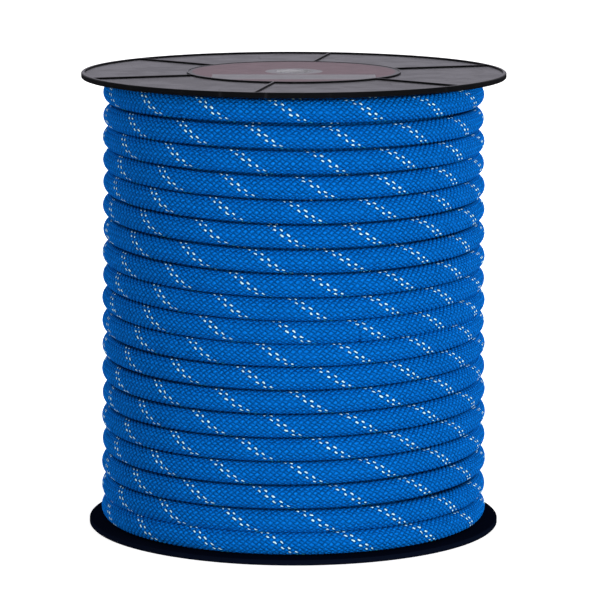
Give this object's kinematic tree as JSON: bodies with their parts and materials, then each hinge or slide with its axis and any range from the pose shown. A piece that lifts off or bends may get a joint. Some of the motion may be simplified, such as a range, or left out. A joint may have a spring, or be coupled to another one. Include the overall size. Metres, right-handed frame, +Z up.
{
  "type": "climbing rope on a reel",
  "caption": "Kernmantle climbing rope wound in close level turns on a plastic reel with ribbed flanges, a hub label and a bore for a spindle.",
  "frame": {"origin": "on the reel's axis, in the plane of the lower flange's outer face that the reel stands on", "axes": "+Z up along the reel's axis, from the lower flange to the upper one; -Y is the side where every turn lies level; +Y is the side where each turn steps down to the next and where the outer end of the rope is taped"},
  "size_m": [0.2, 0.2, 0.2156],
  "materials": {
    "reel_plastic": "glossy",
    "barrel_board": "matte",
    "tube_plastic": "satin",
    "bolt_steel": "zinc plated",
    "label_print": "satin",
    "rope_sheath": "braided",
    "tape_film": "satin"
  },
  "bodies": {
    "root": {"top_flange": "reel_plastic", "bottom_flange": "reel_plastic", "barrel_tube": "barrel_board", "spindle_tube": "tube_plastic", "tie_bolt_1": "bolt_steel", "tie_bolt_2": "bolt_steel", "tie_bolt_3": "bolt_steel", "tie_nut_1": "bolt_steel", "tie_nut_2": "bolt_steel", "tie_nut_3": "bolt_steel", "top_label": "label_print", "bottom_label": "label_print", "rope_inner_layers": "rope_sheath", "rope_outer_layer": "rope_sheath", "end_tape": "tape_film"}
  },
  "joints": []
}
